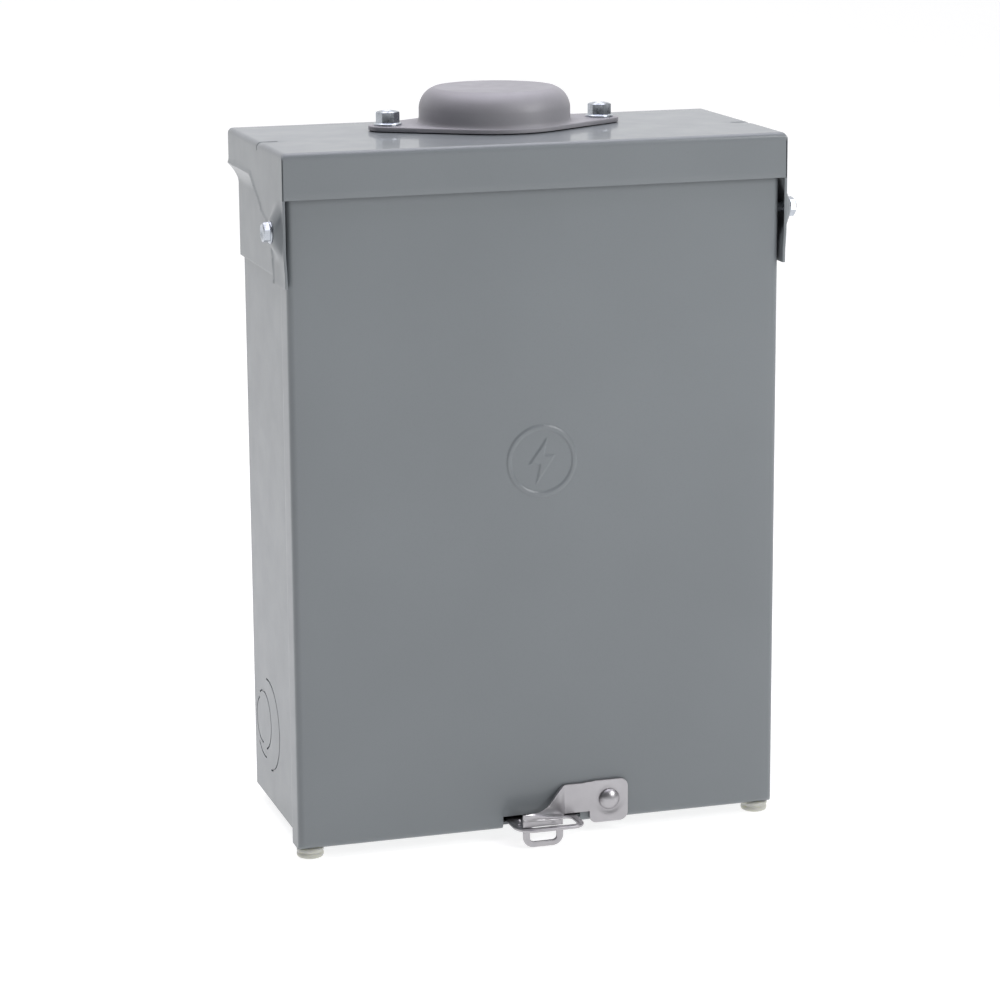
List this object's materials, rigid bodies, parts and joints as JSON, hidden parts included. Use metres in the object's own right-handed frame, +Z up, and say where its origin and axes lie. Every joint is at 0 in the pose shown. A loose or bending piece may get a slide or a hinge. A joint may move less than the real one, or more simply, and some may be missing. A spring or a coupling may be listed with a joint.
{
  "type": "residential load center",
  "caption": "Outdoor surface-mounted load center: sheet steel box with rain hood, top-hinged cover, padlock hasp, hub closing plate, and bus and neutral interior.",
  "frame": {"origin": "centre of the four wall-mounting holes on the back plane", "axes": "+Y from the front of the cover towards the wall, +Z up, +X to the right as seen from the front"},
  "size_m": [0.2518, 0.1224, 0.3446],
  "materials": {
    "grey_paint": "glossy baked grey enamel, slight orange peel",
    "grey_paint_inner": "satin baked grey enamel",
    "die_cast": "fine satin, bead blasted",
    "gasket": "matt",
    "zinc_screw": "bright zinc",
    "green_screw": "green zinc",
    "plated_steel": "satin nickel",
    "vinyl": "translucent ivory vinyl",
    "galvanized": "galvanized",
    "black_moulding": "moulded",
    "white_moulding": "moulded",
    "tinned_aluminium": "tin plated",
    "copper": "bare copper",
    "black_plastic": "moulded, fine texture"
  },
  "bodies": {
    "enclosure": {"enclosure_body": "grey_paint", "bottom_wall": "grey_paint", "hood": "grey_paint", "hub_gasket": "gasket", "hub_closing_plate": "die_cast", "hub_screws": "zinc_screw", "pivot_screws": "zinc_screw", "padlock_staple": "plated_steel", "staple_rivets": "zinc_screw", "interior_pan": "galvanized", "pan_screws": "zinc_screw", "bus_insulator": "black_moulding", "bus_bar_a": "tinned_aluminium", "bus_bar_b": "tinned_aluminium", "main_lug_a": "tinned_aluminium", "main_lug_b": "tinned_aluminium", "main_lug_set_screws": "zinc_screw", "lug_mounting_screws": "zinc_screw", "breaker_rail_left": "galvanized", "breaker_rail_right": "galvanized", "neutral_bar": "tinned_aluminium", "neutral_bar_screws": "zinc_screw", "neutral_lug": "tinned_aluminium", "neutral_lug_set_screw": "zinc_screw", "neutral_lug_mounting_screw": "zinc_screw", "neutral_insulators": "white_moulding", "ground_bar": "tinned_aluminium", "ground_bar_screws": "zinc_screw", "ground_bar_mounting_screws": "zinc_screw", "bonding_strap": "copper", "bonding_screw": "green_screw", "deadfront": "grey_paint_inner", "deadfront_fillers": "black_plastic", "deadfront_screws": "zinc_screw"},
    "cover": {"cover": "grey_paint", "cover_bumpers": "vinyl", "hasp_rivet": "plated_steel"},
    "hasp": {"hasp": "plated_steel"}
  },
  "joints": [
    {"name": "cover_hinge", "type": "hinge", "parent": "enclosure", "child": "cover", "pos_m": [0, -0.0976, 0.1256], "axis": [-1, 0, 0], "range_deg": [0, 90]},
    {"name": "hasp_pivot", "type": "hinge", "parent": "cover", "child": "hasp", "pos_m": [0.0334, -0.1055, -0.1496], "axis": [0, 1, 0], "range_deg": [0, 85]}
  ]
}
